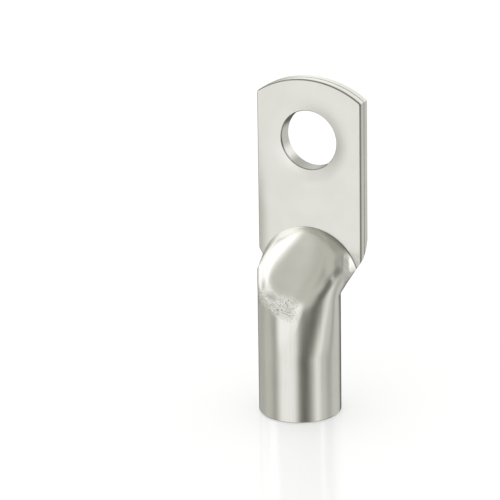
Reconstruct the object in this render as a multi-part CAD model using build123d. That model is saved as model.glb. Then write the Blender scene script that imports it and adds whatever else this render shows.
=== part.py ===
from build123d import *
import os
from math import acos, atan2, cos, degrees, hypot, radians, sin, tan

# A tube cable lug, pressed from one length of tube. Lengths in millimetres, angles in degrees.
# The origin is the centre of the barrel's mouth, Z runs up the barrel to the palm,
# and the palm's contact face looks along +Y, level with the back of the barrel.

# The tube
barrel_diameter = 8.8
barrel_wall = 0.9
barrel_length = 13.2
overall_length = 35.9

# The palm and its stud hole
palm_width = 12.0
palm_thickness = 1.8
palm_end_radius = 10.4
palm_corner_radius = 0.4
stud_hole_diameter = 6.4
stud_hole_setback = 6.6

# The stretch where the tube spreads from round to flat, before its sides are sheared off
spread_length = 5.8
shear_allowance = 1.4

# The recess in the press die, which leaves the sloping bulge above the barrel
ramp_delay = 0.15
ramp_angle = 43.6
ramp_rounding = 1.7
recess_step = 0.5
recess_side_gap = 0.1
recess_floor_inset = 0.93

# The pocket above the cable bore, where the walls close on each other
pocket_middle_width = 8.4
pocket_end_width = 2.0
pocket_end_gap = 0.16

# The seam between the two pressed walls, seen all round the sheared edge
seam_width = 0.1
seam_depth = 0.12

# Fine edges
sheared_edge_bevel = 0.12
hole_edge_bevel = 0.08
mouth_outer_bevel = 0.12
mouth_inner_bevel = 0.25
same_plane = 0.01

barrel_radius = barrel_diameter / 2
bore_radius = barrel_radius - barrel_wall
contact_y = barrel_radius
palm_front_y = contact_y - palm_thickness
seam_y = contact_y - palm_thickness / 2
half_width = palm_width / 2
spread_end = barrel_length + spread_length
ramp_start = barrel_length + ramp_delay
hole_height = overall_length - stud_hole_setback
clear_of_part = 2 * overall_length

# The recess opens as wide as the palm and narrows to the barrel's sides at its floor
recess_opening = half_width - recess_side_gap
recess_floor = barrel_radius - recess_floor_inset
recess_floor_y = -barrel_radius - recess_step
recess_depth = palm_front_y - recess_floor_y
recess_draft = (recess_opening - recess_floor) / recess_depth

# The side rolls of the flattened tube, and the lines that run tangent from them to the crown
roll_radius = palm_thickness / 2
roll_x = half_width + shear_allowance - roll_radius
roll_distance = hypot(roll_x, seam_y)
tangent_turn = acos((barrel_radius - roll_radius) / roll_distance)
tangent_angle = degrees(atan2(seam_y, roll_x) - tangent_turn)


def round_section():
    """The barrel's circle, divided in step with the outline of the flattened tube."""
    flank_length = roll_distance * sin(tangent_turn)
    roll_length = roll_radius * radians(90 - tangent_angle)
    degrees_per_mm = (90 - tangent_angle) / (flank_length + roll_length + roll_x)
    flank_end = tangent_angle + degrees_per_mm * flank_length
    roll_end = flank_end + degrees_per_mm * roll_length
    right_stops = [tangent_angle, flank_end, roll_end]
    left_stops = [180 - angle for angle in reversed(right_stops)]
    stops = right_stops + left_stops + [360 + tangent_angle]
    arcs = [CenterArc((0, 0), barrel_radius, low, high - low) for low, high in zip(stops, stops[1:])]
    return Face(Wire(arcs))


def flattened_section():
    """The tube flattened from behind: a flat back, rolled sides and a crown that is still round."""
    aim = radians(tangent_angle)
    crown_x = barrel_radius * cos(aim)
    crown_y = barrel_radius * sin(aim)
    flank_x = roll_x + roll_radius * cos(aim)
    flank_y = seam_y + roll_radius * sin(aim)
    back = Line((-roll_x, contact_y), (roll_x, contact_y))
    crown = CenterArc((0, 0), barrel_radius, 180 - tangent_angle, 180 + 2 * tangent_angle)
    right_flank = Line((crown_x, crown_y), (flank_x, flank_y))
    right_roll = CenterArc((roll_x, seam_y), roll_radius, tangent_angle, 90 - tangent_angle)
    left_flank = Line((-crown_x, crown_y), (-flank_x, flank_y))
    left_roll = CenterArc((-roll_x, seam_y), roll_radius, 90, 90 - tangent_angle)
    return Face(Wire([right_flank, right_roll, back, left_roll, left_flank, crown]))


def spread_tube():
    """The round barrel, the spread above it and the flattened stock up to the palm's end."""
    flattened = Pos(0, 0, spread_end) * flattened_section()
    barrel = extrude(Circle(barrel_radius), barrel_length)
    spread = loft([Pos(0, 0, barrel_length) * round_section(), flattened], ruled=True)
    return barrel + spread + extrude(flattened, overall_length - spread_end)


def above_ramp():
    """All the space over the slope that climbs from the front of the barrel to the palm."""
    space = Box(clear_of_part, clear_of_part, clear_of_part, align=(Align.CENTER, Align.CENTER, Align.MIN))
    return Pos(0, -barrel_radius, ramp_start) * Rot(ramp_angle, 0, 0) * space


def recess_outline(y, radius):
    """The arch of the die's recess, placed so that the ramp's top meets its wall below the palm."""
    ramp_rise = (palm_front_y - recess_step + barrel_radius) * tan(radians(ramp_angle))
    arch_top = ramp_start + ramp_rise + recess_step * recess_draft
    spring_line = arch_top - recess_opening
    low_line = spring_line - overall_length
    arch = CenterArc((0, spring_line), radius, 0, 180)
    left = Line((-radius, spring_line), (-radius, low_line))
    foot = Line((-radius, low_line), (radius, low_line))
    right = Line((radius, low_line), (radius, spring_line))
    plane = Plane(origin=(0, y, 0), x_dir=(1, 0, 0), z_dir=(0, -1, 0))
    return plane * Face(Wire([arch, left, foot, right]))


def press_die():
    """The die that flattens the palm from the front and spares the bulge in its recess."""
    block = Box(clear_of_part, clear_of_part, clear_of_part, align=(Align.CENTER, Align.MAX, Align.MIN))
    opening = recess_outline(palm_front_y, recess_opening)
    floor = recess_outline(recess_floor_y, recess_floor)
    recess = loft([opening, floor], ruled=True)
    return Pos(0, palm_front_y, ramp_start) * block - (recess - above_ramp())


def round_the_ramp(lug):
    """Rounds the ramp into the barrel below it and into the walls of the arch around it."""
    slope = radians(ramp_angle)
    ramp_normal = Vector(0, -sin(slope), cos(slope))
    flat_faces = lug.faces().filter_by(GeomType.PLANE)
    ramp = max(flat_faces, key=lambda face: face.normal_at().dot(ramp_normal))
    return fillet(ramp.edges(), ramp_rounding)


def pocket_section(height, width):
    """A slice of the pocket, one wall behind the ramp and one wall in front of the back."""
    slope = radians(ramp_angle)
    back = contact_y - barrel_wall
    front = (height - ramp_start) / tan(slope) - barrel_radius + barrel_wall / sin(slope)
    return Pos(0, (front + back) / 2, height) * Ellipse(width / 2, (back - front) / 2)


def cable_bore():
    """The round bore, and the pocket above it that narrows until the walls close."""
    slope = radians(ramp_angle)
    closing_run = 2 * barrel_radius - barrel_wall - pocket_end_gap - barrel_wall / sin(slope)
    pocket_end = ramp_start + closing_run * tan(slope)
    pocket_middle = (barrel_length + pocket_end) / 2
    bore_end = Pos(0, 0, barrel_length) * Circle(bore_radius)
    middle = pocket_section(pocket_middle, pocket_middle_width)
    end = pocket_section(pocket_end, pocket_end_width)
    return extrude(Circle(bore_radius), barrel_length) + loft([bore_end, middle, end])


def sheared_outline(inset):
    """The palm's outline from the front, with its arched end, drawn in from the cut by an inset."""
    side = half_width - inset
    top = overall_length - inset
    end_radius = palm_end_radius - inset
    shoulder = top - end_radius + (end_radius ** 2 - side ** 2) ** 0.5
    end = ThreePointArc((side, shoulder), (0, top), (-side, shoulder))
    left = Line((-side, shoulder), (-side, 0))
    foot = Line((-side, 0), (side, 0))
    right = Line((side, 0), (side, shoulder))
    outline = Face(Wire([end, left, foot, right]))
    corners = outline.vertices().sort_by(Axis.Y)[-2:]
    return Plane.XZ * fillet(corners, palm_corner_radius)


def shear(lug):
    """Trims the sides and the end, and shows the seam of the pressed walls in the cut."""
    trimmed = lug & extrude(sheared_outline(0), clear_of_part, both=True)
    cut_layer = extrude(sheared_outline(0), seam_width / 2, both=True)
    core = extrude(sheared_outline(seam_depth), seam_width, both=True)
    return trimmed - Pos(0, seam_y, 0) * (cut_layer - core)


def stud_hole():
    """The round hole, pierced through both walls of the palm."""
    return Pos(0, 0, hole_height) * Cylinder(stud_hole_diameter / 2, clear_of_part, rotation=(90, 0, 0))


def palm_edges(lug, face_y):
    """The edges around one face of the palm: its sheared rim and the rim of its hole."""
    rim = ShapeList()
    for edge in lug.edges():
        box = edge.bounding_box()
        lies_in_face = max(abs(box.min.Y - face_y), abs(box.max.Y - face_y)) < same_plane
        if lies_in_face and box.max.Z > hole_height:
            rim.append(edge)
    return rim


def break_edges(lug):
    """Takes the sharpness off both faces of the palm and off the barrel's mouth."""
    for face_y in (palm_front_y, contact_y):
        sheared_rim = [edge for edge in palm_edges(lug, face_y) if not edge.is_closed]
        lug = chamfer(sheared_rim, sheared_edge_bevel)
        hole_rim = [edge for edge in palm_edges(lug, face_y) if edge.is_closed]
        lug = chamfer(hole_rim, hole_edge_bevel)
    lug = chamfer(lug.faces().sort_by(Axis.Z)[0].outer_wire().edges(), mouth_outer_bevel)
    return chamfer(lug.faces().sort_by(Axis.Z)[0].inner_wires().edges(), mouth_inner_bevel)


pressed_lug = round_the_ramp(spread_tube() - press_die())
pierced_lug = shear(pressed_lug - cable_bore()) - stud_hole()
cable_lug = break_edges(pierced_lug)

os.makedirs("parts", exist_ok=True)
export_step(cable_lug, "parts/cable_lug.step")
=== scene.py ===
from math import cos, radians, sin

import bpy
from mathutils import Matrix, Vector

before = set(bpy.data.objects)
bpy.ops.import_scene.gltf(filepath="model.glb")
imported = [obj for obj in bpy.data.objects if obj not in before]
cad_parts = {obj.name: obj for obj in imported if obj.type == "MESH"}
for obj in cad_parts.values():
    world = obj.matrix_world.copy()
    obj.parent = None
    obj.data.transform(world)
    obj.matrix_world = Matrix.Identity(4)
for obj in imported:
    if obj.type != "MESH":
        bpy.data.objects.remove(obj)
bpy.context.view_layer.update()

MM = 0.001

# The lug, in metres, in its own frame: the barrel's axis is Z and the palm's front faces -Y
palm_front_y = 2.6 * MM
palm_side_x = 6.0 * MM
hole_height = 29.3 * MM
hole_radius = 3.2 * MM
palm_middle_y = 3.5 * MM
ramp_foot_z = 13.35 * MM
ramp_middle = (0.0, -1.15 * MM, 16.44 * MM)
ramp_angle = radians(43.6)
up_the_ramp = (0.0, cos(ramp_angle), sin(ramp_angle))

# The roundings of the bulge, which run softly into one another
soft_rounding = 1.5 * MM

# The flattened fan on the barrel's front, below the ramp: it opens upward from its foot
fan_foot_z = 7.2 * MM
fan_half_width = 2.1 * MM
fan_least_width = 0.1 * MM
fan_opening_power = 0.8
fan_angle = radians(9.5)

# The bows of the ramp towards its right, its left shoulder and its top
right_bow_reach = 4.0 * MM
right_bow_lean = 0.2
left_shoulder = (-2.2 * MM, 0.0, 0.0)
left_shoulder_direction = (-0.93, 0.36 * cos(ramp_angle), 0.36 * sin(ramp_angle))
left_bow_lean = 0.2
top_bow_reach = 4.5 * MM
top_bow_lean = 0.12
bow_power = 3.0

# The right wing beside the arch, with the way out along it, and the palm's left edge
wing_direction = (0.89, 0.45, 0.0)
wing_lean = (0.0, -0.2, -0.08)
left_edge_lean = (-0.12, 0.0, 0.0)

# The hole's rim, drawn in by the punch
drawn_in_width = 2.2 * MM
drawn_in_lean = 0.16 / hole_radius
drawn_in_direction = (-0.5, 0.0, -1.0)

# The crinkled crease between the barrel and the ramp, lower on its right, and the wing's fainter one
crease_slant = 0.25
wing_foot_share = 0.45

# The shade on the palm, low and to the right of the hole
hole_shade_direction = (0.6, 0.0, -0.8)

# The dark reflection painted in a streak where the ramp turns into the barrel's side
streak_middle = (4.34 * MM, -0.85 * MM, 15.84 * MM)
streak_direction = (0.195, 0.908, 0.37)

# The noises of the plate, each as waves to a metre, detail and roughness, and their depths
drawn_line_noise = (9000.0, 3.0, 0.6)
drawn_line_stretch = (1.0, 1.0, 0.02)
drawn_line_depth = 0.002 * MM
cloud_noise = (260.0, 3.0, 0.55)
grain_noise = (14000.0, 2.0, 0.6)
grain_depth = 0.0006 * MM
crumple_noise = (5800.0, 2.0, 0.7)
crumple_depth = 0.14 * MM

# The plate's roughness, and what the drawn lines and the clouding add to it
plate_roughness = 0.17
drawn_line_roughness = 0.05
cloud_roughness = 0.05

# The tones of the plate, and of the shade and dark reflections painted on it
pale_plate_tone = (0.825, 0.82, 0.79, 1.0)
dull_plate_tone = (0.785, 0.78, 0.745, 1.0)
painted_shade_tone = (0.16, 0.155, 0.14, 1.0)
painted_shade_share = 0.6
crinkle_shade_tone = (0.3, 0.29, 0.27, 1.0)
left_rounding_shade_tone = (0.3, 0.295, 0.28, 1.0)
streak_reflection_tone = (0.3, 0.292, 0.272, 1.0)
hole_shade_tone = (0.45, 0.445, 0.42, 1.0)

# The floor
floor_size = 1.6
floor_drop = 0.02 * MM
floor_white = (0.8, 0.8, 0.8, 1.0)
floor_roughness = 0.12
floor_glow = 0.2

# The studio: plain white for every ray but the shine, which sees cards before a grey ground
plain_white = (1.0, 1.0, 1.0, 1.0)
behind_the_cards = (0.58, 0.58, 0.525, 1.0)

# The camera stands to the right of the palm's front and looks down on the lug
camera_side = radians(26.86)
camera_height = radians(19.61)
camera_tilt = radians(-0.89)
camera_distance = 368.3 * MM
camera_lens = 250.0
camera_reach = 20.0
aim_point = Vector((-5.75 * MM, 0.0, 17.09 * MM))


class NodeBoard:
    """Places nodes in a tree and joins them, with plain words for the sums that a finish needs."""

    def __init__(self, tree):
        self.tree = tree
        self.tree.nodes.clear()

    def node(self, kind, **settings):
        made = self.tree.nodes.new(kind)
        for name, value in settings.items():
            setattr(made, name, value)
        return made

    def feed(self, socket, value):
        if isinstance(value, bpy.types.NodeSocket):
            self.tree.links.new(value, socket)
        else:
            socket.default_value = value

    def fill(self, made, *values):
        """Puts values on a node's first sockets, and gives the node back."""
        for socket, value in zip(made.inputs, values):
            self.feed(socket, value)
        return made

    def math(self, operation, *values):
        return self.fill(self.node("ShaderNodeMath", operation=operation), *values).outputs[0]

    def vector(self, operation, *values):
        made = self.fill(self.node("ShaderNodeVectorMath", operation=operation), *values)
        return made.outputs["Value" if operation in ("LENGTH", "DOT_PRODUCT") else "Vector"]

    def split(self, value):
        return self.fill(self.node("ShaderNodeSeparateXYZ"), value).outputs

    def product(self, *values):
        """The product of values. For shares it is full only where each of them is."""
        whole = values[0]
        for value in values[1:]:
            whole = self.math("MULTIPLY", whole, value)
        return whole

    def most(self, *values):
        """The largest of values."""
        largest = values[0]
        for value in values[1:]:
            largest = self.math("MAXIMUM", largest, value)
        return largest

    def rise(self, value, low, high, to_low=0.0, to_high=1.0, smooth=True):
        """A value's way from low to high, as a share that stays between its ends."""
        made = self.node("ShaderNodeMapRange", interpolation_type="SMOOTHSTEP" if smooth else "LINEAR")
        for name, given in (("Value", value), ("From Min", low), ("From Max", high),
                            ("To Min", to_low), ("To Max", to_high)):
            self.feed(made.inputs[name], given)
        return made.outputs["Result"]

    def fall(self, value, low, high, full=1.0):
        """A share that is full up to low and gone from high on."""
        return self.rise(value, low, high, full, 0.0)

    def cubed_bow(self, run, reach, lean):
        """A lean that grows with the cube of a run and is full at its reach."""
        share = self.math("POWER", self.math("DIVIDE", run, reach), bow_power)
        return self.math("MULTIPLY", share, lean)

    def leaned(self, facing, lean, share):
        """A facing that leans by a vector where the share is full."""
        by = self.node("ShaderNodeVectorMath", operation="SCALE")
        self.feed(by.inputs[0], lean)
        self.feed(by.inputs["Scale"], share)
        return self.vector("NORMALIZE", self.vector("ADD", facing, by.outputs["Vector"]))

    def turned(self, facing, source, target):
        """A facing taken from the lug's own axes to the world's, or back."""
        made = self.node("ShaderNodeVectorTransform", vector_type="NORMAL",
                         convert_from=source, convert_to=target)
        return self.fill(made, facing).outputs[0]

    def noise(self, place, scale, detail, roughness):
        made = self.node("ShaderNodeTexNoise")
        for name, given in (("Vector", place), ("Scale", scale), ("Detail", detail),
                            ("Roughness", roughness)):
            self.feed(made.inputs[name], given)
        return made.outputs["Fac"]

    def centred(self, noise):
        """How far a noise is above or below its middle."""
        return self.math("SUBTRACT", noise, 0.5)

    def blend(self, share, first, second):
        """A colour that goes from the first to the second as the share fills."""
        made = self.node("ShaderNodeMix", data_type="RGBA")
        for name, given in (("Factor", share), ("A", first), ("B", second)):
            self.feed(made.inputs[name], given)
        return made.outputs["Result"]

    def bump(self, height, depth, under):
        made = self.node("ShaderNodeBump")
        for name, given in (("Distance", depth), ("Strength", 1.0), ("Height", height),
                            ("Normal", under)):
            self.feed(made.inputs[name], given)
        return made.outputs["Normal"]


class Spot:
    """A spot on the lug: where it is, which way it faces, and the shares that several marks need."""

    def __init__(self, board, place):
        self.place = place
        self.x, self.y, self.z = board.split(place)
        self.facing = softened_facing(board, self.y, self.z)
        toward_back, self.upward = board.split(self.facing)[1:]
        self.forward = board.math("MULTIPLY", toward_back, -1.0)
        self.along_wing = board.vector("DOT_PRODUCT", place, wing_direction)
        self.on_palm = board.fall(self.y, palm_front_y, palm_front_y + 0.04 * MM)
        self.from_hole = board.vector("SUBTRACT", place, (0.0, palm_front_y, hole_height))
        self.hole_distance = board.vector("LENGTH", self.from_hole)


def softened_facing(board, y, z):
    """The facing of the mesh, with the bulge's roundings run softly into one another."""
    before_palm = board.fall(y, palm_front_y - 1.6 * MM, palm_front_y - 0.6 * MM)
    above_fan_middle = board.rise(z, 11.0 * MM, 12.6 * MM)
    eased_edges = board.node("ShaderNodeBevel", samples=8)
    on_bulge = board.product(before_palm, above_fan_middle)
    board.feed(eased_edges.inputs["Radius"], board.math("MULTIPLY", on_bulge, soft_rounding))
    return board.vector("NORMALIZE", board.turned(eased_edges.outputs[0], "WORLD", "OBJECT"))


def fan_facing(board, spot, facing):
    """The fan, flat in its middle, and the barrel's front a little flatter round it."""
    across = board.math("ABSOLUTE", spot.x)
    climb = board.rise(spot.z, fan_foot_z, ramp_foot_z, smooth=False)
    opening = board.math("POWER", climb, fan_opening_power)
    fan_width = board.most(board.math("MULTIPLY", opening, fan_half_width), fan_least_width)
    inner_width = board.math("MULTIPLY", fan_width, 0.3)
    outer_width = board.math("MULTIPLY", fan_width, 1.5)
    above_foot = board.rise(spot.z, fan_foot_z, fan_foot_z + 2.5 * MM)
    fan = board.product(board.fall(across, inner_width, outer_width), above_foot)
    beside_fan = board.math("MULTIPLY", opening, board.rise(across, 1.8 * MM, 3.0 * MM, 0.1, 0.28))

    off_ramp = board.fall(spot.upward, 0.03, 0.35)
    front_half = board.fall(spot.y, -1.5 * MM, 0.5 * MM)
    mostly_right = board.rise(spot.x, -0.75 * MM, 0.15 * MM, 0.1, 1.0)
    flattened = board.product(board.most(fan, beside_fan), off_ramp, front_half, mostly_right)
    flatter = board.node("ShaderNodeMix", data_type="VECTOR")
    board.feed(flatter.inputs["Factor"], flattened)
    board.feed(flatter.inputs[4], facing)
    board.feed(flatter.inputs[5], (0.0, -cos(fan_angle), sin(fan_angle)))
    return board.vector("NORMALIZE", flatter.outputs[1])


def bowed_facing(board, spot, facing):
    """The ramp, flat in its middle and bowed towards its rounded edges."""
    on_ramp = board.product(board.rise(spot.upward, 0.45, 0.62), board.rise(spot.forward, 0.4, 0.62))
    from_middle = board.vector("SUBTRACT", spot.place, ramp_middle)

    right_bow = board.cubed_bow(board.most(spot.x, 0.0), right_bow_reach, right_bow_lean)
    facing = board.leaned(facing, (1.0, 0.0, 0.0), board.product(right_bow, on_ramp))

    from_shoulder = board.vector("SUBTRACT", from_middle, left_shoulder)
    past_shoulder = board.vector("DOT_PRODUCT", from_shoulder, left_shoulder_direction)
    left_bow = board.rise(past_shoulder, -0.9 * MM, 1.2 * MM, 0.0, left_bow_lean)
    facing = board.leaned(facing, (-1.0, 0.0, 0.0), board.product(left_bow, on_ramp))

    climb = board.vector("DOT_PRODUCT", from_middle, up_the_ramp)
    top_bow = board.cubed_bow(climb, top_bow_reach, top_bow_lean)
    return board.leaned(facing, up_the_ramp, board.product(top_bow, on_ramp))


def bent_facing(board, spot, facing):
    """The wing beside the arch, the palm's left edge and the hole's rim, each a little bent."""
    right_side = board.rise(spot.along_wing, 4.6 * MM, 4.8 * MM)
    before_palm = board.fall(spot.y, 2.56 * MM, 2.6 * MM)
    facing_up = board.rise(spot.upward, 0.2, 0.3)
    low_on_arch = board.fall(spot.z, 17.2 * MM, 17.8 * MM)
    on_wing = board.product(right_side, before_palm, facing_up, low_on_arch)
    facing = board.leaned(facing, wing_lean, on_wing)

    near_left_side = board.fall(spot.x, -palm_side_x, -4.4 * MM)
    above_arch_foot = board.rise(spot.z, 14.0 * MM, 16.0 * MM)
    less_higher_up = board.fall(spot.z, 20.0 * MM, 31.0 * MM)
    left_edge = board.product(near_left_side, above_arch_foot, less_higher_up, spot.on_palm)
    facing = board.leaned(facing, left_edge_lean, left_edge)

    near_hole = board.fall(spot.hole_distance, hole_radius, hole_radius + drawn_in_width)
    rim = board.product(near_hole, spot.on_palm)
    inward = board.vector("MULTIPLY", spot.from_hole, drawn_in_direction)
    return board.leaned(facing, inward, board.product(rim, rim, drawn_in_lean))


def press_marks(board, spot):
    """Crinkled plate where the pressed form turns into the barrel, and at the right wing's foot: a share
    for the crinkles' relief and for their specks of painted shade.
    """
    slanted_height = board.math("ADD", spot.z, board.math("MULTIPLY", spot.x, crease_slant))
    slanted_foot = board.rise(slanted_height, 11.2 * MM, 12.6 * MM)
    low_on_ramp = board.fall(spot.z, 13.7 * MM, 14.4 * MM)
    off_ramp = board.fall(spot.upward, 0.62, 0.7)
    front_side = board.fall(spot.y, -2.6 * MM, -2.0 * MM)
    mostly_left = board.fall(spot.x, 0.5 * MM, 2.4 * MM)
    crease = board.product(slanted_foot, low_on_ramp, off_ramp, front_side, mostly_left)

    inner_end = board.rise(spot.along_wing, 4.6 * MM, 4.75 * MM)
    outer_end = board.fall(spot.along_wing, 5.1 * MM, 5.35 * MM)
    right_side = board.rise(spot.x, 4.3 * MM, 4.5 * MM)
    low_on_arch = board.fall(spot.z, 16.9 * MM, 17.4 * MM)
    wing_foot = board.product(inner_end, outer_end, right_side, low_on_arch)
    return board.most(crease, board.math("MULTIPLY", wing_foot, wing_foot_share))


def streak_reflection(board, spot):
    """A dark reflection painted in a streak where the ramp turns into the barrel's side."""
    from_middle = board.vector("SUBTRACT", spot.place, streak_middle)
    aside = board.vector("LENGTH", board.vector("CROSS_PRODUCT", from_middle, streak_direction))
    along = board.math("ABSOLUTE", board.vector("DOT_PRODUCT", from_middle, streak_direction))
    return board.product(board.fall(aside, 0.1 * MM, 0.62 * MM),
                         board.fall(along, 1.0 * MM, 1.9 * MM, full=0.6))


def left_rounding_shade(board, spot):
    """Painted shade: a darker patch on the left of the rounding between the barrel and the ramp."""
    low_on_ramp = board.fall(spot.z, 14.5 * MM, 15.5 * MM)
    above_barrel = board.rise(spot.z, 13.0 * MM, 13.7 * MM)
    on_rounding = board.rise(spot.upward, 0.3, 0.5, 0.0, 0.5)
    off_ramp = board.fall(spot.upward, 0.62, 0.71)
    left_of_middle = board.fall(spot.x, -1.4 * MM, -0.2 * MM)
    off_left_side = board.rise(spot.x, -3.2 * MM, -2.6 * MM)
    return board.product(low_on_ramp, above_barrel, on_rounding, off_ramp, left_of_middle, off_left_side)


def sheared_edge_shade(board, spot):
    """Painted shade in a dark line along the palm's sheared front edges, fainter over the top."""
    behind_front = board.rise(spot.y, palm_front_y, palm_front_y + 0.03 * MM)
    before_seam = board.fall(spot.y, palm_front_y + 0.18 * MM, palm_front_y + 0.28 * MM)
    above_arch_foot = board.rise(spot.z, 15.2 * MM, 15.6 * MM)
    fainter_on_top = board.rise(spot.upward, 0.3, 0.6, 1.15, 0.6)
    return board.product(behind_front, before_seam, above_arch_foot, fainter_on_top)


def arch_fold_shade(board, spot):
    """The painted shade of the fold along the arch: a dark line in its valley, and the shade beside it
    on the right.
    """
    before_palm = board.fall(spot.y, palm_front_y, palm_front_y + 0.02 * MM)
    above_arch_foot = board.rise(spot.z, 15.3 * MM, 15.7 * MM)
    off_palm = board.fall(spot.forward, 0.8, 0.9)
    below_arch = board.product(before_palm, above_arch_foot, off_palm)

    next_to_palm = board.rise(spot.y, palm_front_y - 0.17 * MM, palm_front_y - 0.08 * MM)
    darker_right = board.rise(spot.x, -2.0 * MM, 4.4 * MM, 0.4, 1.5)
    fold = board.product(next_to_palm, below_arch, darker_right)

    near_palm = board.rise(spot.y, palm_front_y - 0.8 * MM, palm_front_y - 0.1 * MM)
    right_half = board.rise(spot.x, 0.3 * MM, 2.5 * MM, 0.0, 0.85)
    high_on_arch = board.rise(spot.z, 17.4 * MM, 18.1 * MM)
    fold_shade = board.product(near_palm, below_arch, right_half, high_on_arch)
    return board.most(fold, fold_shade)


def hole_floor_shade(board, spot):
    """The floor of the stud hole's wall, darkened with painted shade."""
    behind_rim = board.rise(spot.y, palm_front_y + 0.04 * MM, palm_front_y + 0.1 * MM)
    from_middle = board.vector("SUBTRACT", spot.place, (0.0, palm_middle_y, hole_height))
    distance = board.vector("LENGTH", from_middle)
    in_hole = board.fall(distance, hole_radius + 0.5 * MM, hole_radius + 0.6 * MM)
    facing_up = board.rise(spot.upward, 0.6, 0.85)
    return board.product(behind_rim, in_hole, facing_up)


def hole_shade(board, spot):
    """The soft shade on the palm, below the hole and to its right."""
    near_hole = board.fall(spot.hole_distance, hole_radius, hole_radius + 1.9 * MM, full=0.5)
    outward = board.vector("NORMALIZE", spot.from_hole)
    low_right = board.rise(board.vector("DOT_PRODUCT", outward, hole_shade_direction), 0.1, 0.9)
    return board.product(near_hole, low_right, spot.on_palm)


def satin_tin():
    """Tin plate on drawn and pressed copper tube: satin, with drawn lines and crinkled press marks, and
    with shade and dark reflections painted into its tone.
    """
    metal = bpy.data.materials.new("satin_tin")
    metal.use_nodes = True
    board = NodeBoard(metal.node_tree)
    place = board.node("ShaderNodeTexCoord").outputs["Object"]
    spot = Spot(board, place)

    drawn_lines = board.noise(board.vector("MULTIPLY", place, drawn_line_stretch), *drawn_line_noise)
    cloud = board.noise(place, *cloud_noise)
    grain = board.noise(place, *grain_noise)
    crumple = board.noise(place, *crumple_noise)
    pressed = press_marks(board, spot)

    # the drawn lines show in the tone of the barrel, but not on the palm
    below_palm = board.fall(spot.z, 12.0 * MM, 14.5 * MM)
    streaked = board.product(board.centred(drawn_lines), below_palm)
    paler = board.rise(board.math("ADD", cloud, streaked), 0.3, 0.7)
    # painted shade: dark lines along the sheared edges, in the arch's fold and on the hole's floor
    lines = board.most(sheared_edge_shade(board, spot), arch_fold_shade(board, spot), hole_floor_shade(board, spot))
    # the crinkles' dark specks are painted shade, laid over the relief that the bump below gives them
    crinkled = board.product(pressed, board.rise(crumple, 0.5, 0.66, 0.0, 0.5))
    tone = board.blend(paler, dull_plate_tone, pale_plate_tone)
    for share, mark_tone in ((board.math("MULTIPLY", lines, painted_shade_share), painted_shade_tone),
                             (crinkled, crinkle_shade_tone),
                             (left_rounding_shade(board, spot), left_rounding_shade_tone),
                             (streak_reflection(board, spot), streak_reflection_tone),
                             (hole_shade(board, spot), hole_shade_tone)):
        tone = board.blend(share, tone, mark_tone)

    unevenness = board.math("ADD", board.math("MULTIPLY", drawn_lines, drawn_line_roughness),
                            board.math("MULTIPLY", cloud, cloud_roughness))
    roughness = board.math("ADD", plate_roughness, unevenness)

    # the soft unevenness that pressing leaves, then the fine relief
    facing = spot.facing
    for uneven in (fan_facing, bowed_facing, bent_facing):
        facing = uneven(board, spot, facing)
    normal = board.turned(facing, "OBJECT", "WORLD")
    normal = board.bump(drawn_lines, drawn_line_depth, normal)
    normal = board.bump(grain, grain_depth, normal)
    normal = board.bump(board.product(pressed, board.centred(crumple)), crumple_depth, normal)

    surface = board.node("ShaderNodeBsdfPrincipled")
    surface.inputs["Metallic"].default_value = 1.0
    board.feed(surface.inputs["Base Color"], tone)
    board.feed(surface.inputs["Roughness"], roughness)
    board.feed(surface.inputs["Normal"], normal)
    board.feed(board.node("ShaderNodeOutputMaterial").inputs["Surface"], surface.outputs[0])
    return metal


def pale_floor():
    """A white sheet that keeps the lug's shadow and shows a faint reflection of its foot."""
    paper = bpy.data.materials.new("pale_floor")
    paper.use_nodes = True
    board = NodeBoard(paper.node_tree)
    surface = board.node("ShaderNodeBsdfPrincipled")
    surface.inputs["Base Color"].default_value = floor_white
    surface.inputs["Roughness"].default_value = floor_roughness
    surface.inputs["Emission Color"].default_value = plain_white
    ray = board.node("ShaderNodeLightPath")
    seen = board.most(ray.outputs["Is Camera Ray"], ray.outputs["Is Transmission Ray"])
    board.feed(surface.inputs["Emission Strength"], board.math("MULTIPLY", seen, floor_glow))
    board.feed(board.node("ShaderNodeOutputMaterial").inputs["Surface"], surface.outputs[0])

    bpy.ops.mesh.primitive_plane_add(size=floor_size, location=(0.0, 0.0, -floor_drop))
    floor = bpy.context.object
    floor.name = "floor"
    floor.data.materials.append(paper)
    floor.visible_glossy = False


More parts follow.
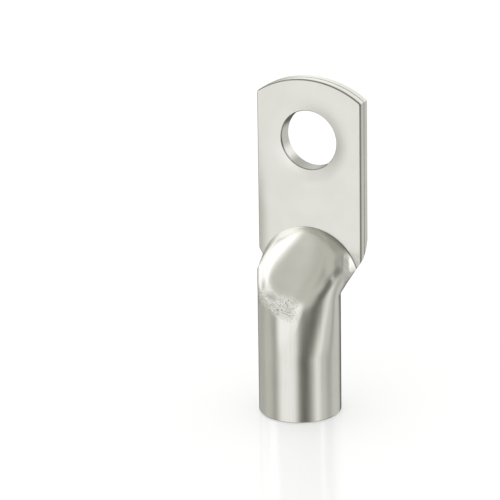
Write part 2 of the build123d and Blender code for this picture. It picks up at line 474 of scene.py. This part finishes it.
def studio():
    """White all round, with pale and dark cards round the lug that only its own shine shows."""
    world = bpy.data.worlds.new("studio")
    bpy.context.scene.world = world
    world.use_nodes = True
    board = NodeBoard(world.node_tree)
    x, y, z = board.split(board.node("ShaderNodeTexCoord").outputs["Generated"])
    side = board.math("DEGREES", board.math("ARCTAN2", x, board.math("MULTIPLY", y, -1.0)))
    height = board.math("DEGREES", board.math("ARCSINE", z))

    def card(behind, brightness, middle, half_size, soft, lean=0.0):
        """One card before those behind it. Its middle is in degrees round from the palm's front to
        the right and up, its half size in degrees across and up, and it leans sideways as it climbs."""
        climb = board.math("SUBTRACT", height, middle[1])
        leaned = board.math("SUBTRACT", side, board.math("MULTIPLY", climb, lean))
        off_side = board.math("WRAP", board.math("SUBTRACT", leaned, middle[0]), 180.0, -180.0)
        shares = [board.fall(board.math("ABSOLUTE", off), half - soft, half + soft)
                  for off, half in zip((off_side, climb), half_size)]
        return board.blend(board.product(*shares), behind, (*brightness, 1.0))

    shine = behind_the_cards
    # the right side, with its darker band
    shine = card(shine, (0.63, 0.625, 0.59), (127.0, -28.0), (50.0, 30.0), 8.0)
    shine = card(shine, (0.44, 0.44, 0.41), (115.0, -28.0), (10.0, 22.0), 8.0)
    # the pale front: low, level and high on the left
    shine = card(shine, (0.98, 0.975, 0.955), (-8.0, -15.0), (26.0, 30.0), 9.0)
    shine = card(shine, (1.2, 1.2, 1.18), (-8.0, 5.0), (24.0, 11.0), 9.0)
    shine = card(shine, (1.6, 1.6, 1.58), (-57.0, 24.0), (16.0, 23.0), 7.0)
    # the darker bands low on the left
    shine = card(shine, (0.40, 0.40, 0.37), (-50.0, -25.0), (8.0, 20.0), 7.0)
    shine = card(shine, (0.46, 0.46, 0.43), (-108.0, -25.0), (18.0, 18.0), 10.0)
    # behind the lug: pale above and dark below
    shine = card(shine, (1.06, 1.06, 1.03), (-178.0, 20.0), (45.0, 16.0), 8.0)
    shine = card(shine, (0.10, 0.10, 0.09), (-160.0, -30.0), (28.0, 20.0), 9.0)
    # the dark card beside the camera, seen as the barrel's dark band
    shine = card(shine, (0.12, 0.117, 0.10), (41.0, -20.0), (16.0, 38.0), 8.0, lean=1.2)
    # the dim cards high on the right, seen in the ramp's right half and its rounding
    shine = card(shine, (0.36, 0.355, 0.33), (115.0, 25.0), (10.0, 17.0), 5.0)
    shine = card(shine, (0.42, 0.415, 0.385), (45.0, 55.0), (16.0, 15.0), 7.0, lean=-1.3)
    # the bright strip low on the right, seen in the barrel's side
    shine = card(shine, (0.98, 0.97, 0.93), (76.0, -28.0), (8.0, 18.0), 5.0)
    # the white lamp cloths on the left, high and level, seen in the ramp's left shoulder
    shine = card(shine, (1.5, 1.5, 1.5), (-88.0, 40.0), (15.0, 19.0), 6.0, lean=0.5)
    shine = card(shine, (1.3, 1.3, 1.28), (-104.0, 7.0), (19.0, 14.0), 6.0)
    # the grey card high on the left, seen in the flat of the ramp
    shine = card(shine, (0.52, 0.52, 0.475), (-44.0, 61.0), (13.0, 10.0), 7.0)
    # the small lamp on the right, seen in the wing
    shine = card(shine, (1.8, 1.8, 1.78), (90.0, 16.0), (5.0, 10.0), 3.0)

    cards = board.node("ShaderNodeBackground")
    board.feed(cards.inputs["Color"], shine)
    cards.inputs["Strength"].default_value = 1.0
    white = board.node("ShaderNodeBackground")
    white.inputs["Color"].default_value = plain_white
    white.inputs["Strength"].default_value = 1.0
    glossy = board.node("ShaderNodeLightPath").outputs["Is Glossy Ray"]
    choose = board.fill(board.node("ShaderNodeMixShader"), glossy, white.outputs[0], cards.outputs[0])
    board.feed(board.node("ShaderNodeOutputWorld").inputs["Surface"], choose.outputs[0])


def camera():
    """A long lens, tilted a little, at the photo's side and height."""
    toward = Vector((sin(camera_side) * cos(camera_height), -cos(camera_side) * cos(camera_height),
                     sin(camera_height)))
    level = Vector((cos(camera_side), sin(camera_side), 0.0))
    upward = toward.cross(level)
    right = cos(camera_tilt) * level + sin(camera_tilt) * upward
    top = cos(camera_tilt) * upward - sin(camera_tilt) * level
    stand = bpy.data.objects.new("camera", bpy.data.cameras.new("camera"))
    bpy.context.collection.objects.link(stand)
    turn = Matrix((right, top, toward)).transposed().to_4x4()
    stand.matrix_world = Matrix.Translation(aim_point + toward * camera_distance) @ turn
    stand.data.lens = camera_lens
    stand.data.clip_end = camera_reach
    bpy.context.scene.camera = stand


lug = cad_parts["cable_lug"]
lug.data.materials.clear()
lug.data.materials.append(satin_tin())
camera()
studio()
pale_floor()
bpy.context.scene.view_settings.view_transform = "Standard"
